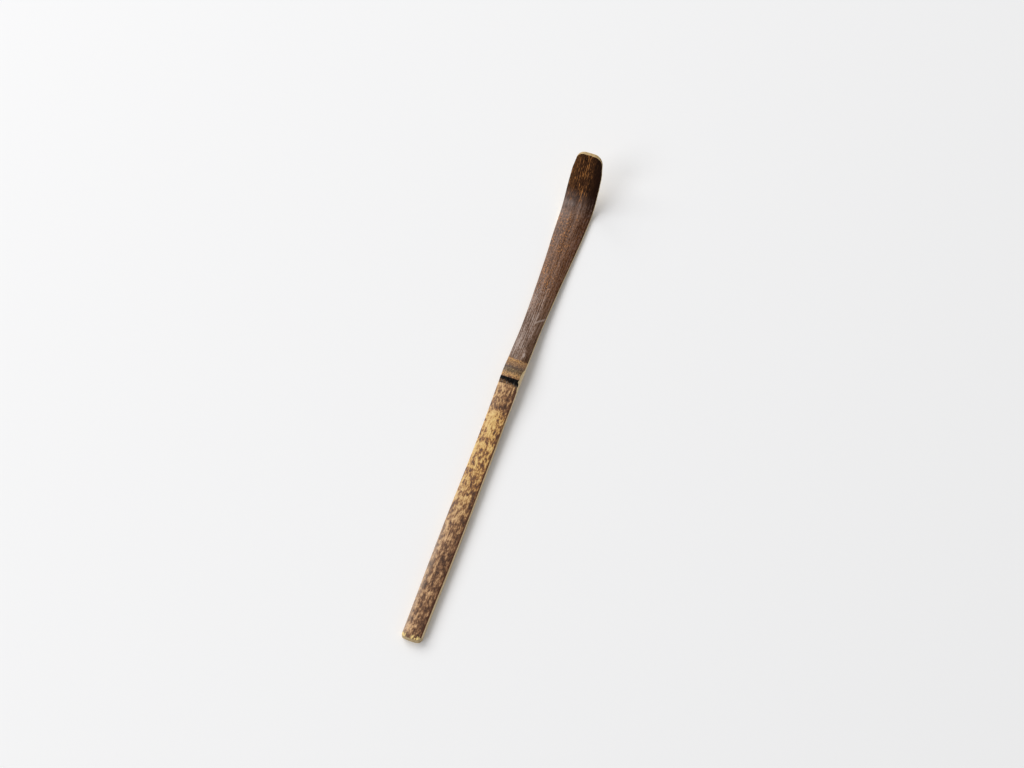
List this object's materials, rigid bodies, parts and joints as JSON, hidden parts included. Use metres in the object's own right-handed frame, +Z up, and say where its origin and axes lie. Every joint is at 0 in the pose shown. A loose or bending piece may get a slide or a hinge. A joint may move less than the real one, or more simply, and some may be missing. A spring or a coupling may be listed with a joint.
{
  "type": "tea scoop",
  "caption": "Slim carved bamboo tea scoop: straight grip, raised node at mid length, and a thin flared blade bent up to lift powdered tea.",
  "frame": {"origin": "middle of the scoop's own box seen from above, at the height of the table that it lies on", "axes": "+X along the strip from the cut grip end to the scoop tip, +Y to the left edge seen from the grip, +Z up out of the bamboo's skin"},
  "size_m": [0.1766, 0.011, 0.0172],
  "materials": {
    "bamboo_flesh": "knife-cut bamboo flesh, matt",
    "mottled_skin": "bamboo skin, tan with brown mottling, satin",
    "scar_skin": "blackened sheath scar, matt",
    "node_skin": "tan bamboo skin, satin",
    "smoked_skin": "dark smoked bamboo skin, satin"
  },
  "bodies": {
    "root": {"culm_wood": "bamboo_flesh", "grip_rind": "mottled_skin", "sheath_scar": "scar_skin", "node_ridge": "node_skin", "scoop_rind": "smoked_skin"}
  },
  "joints": []
}
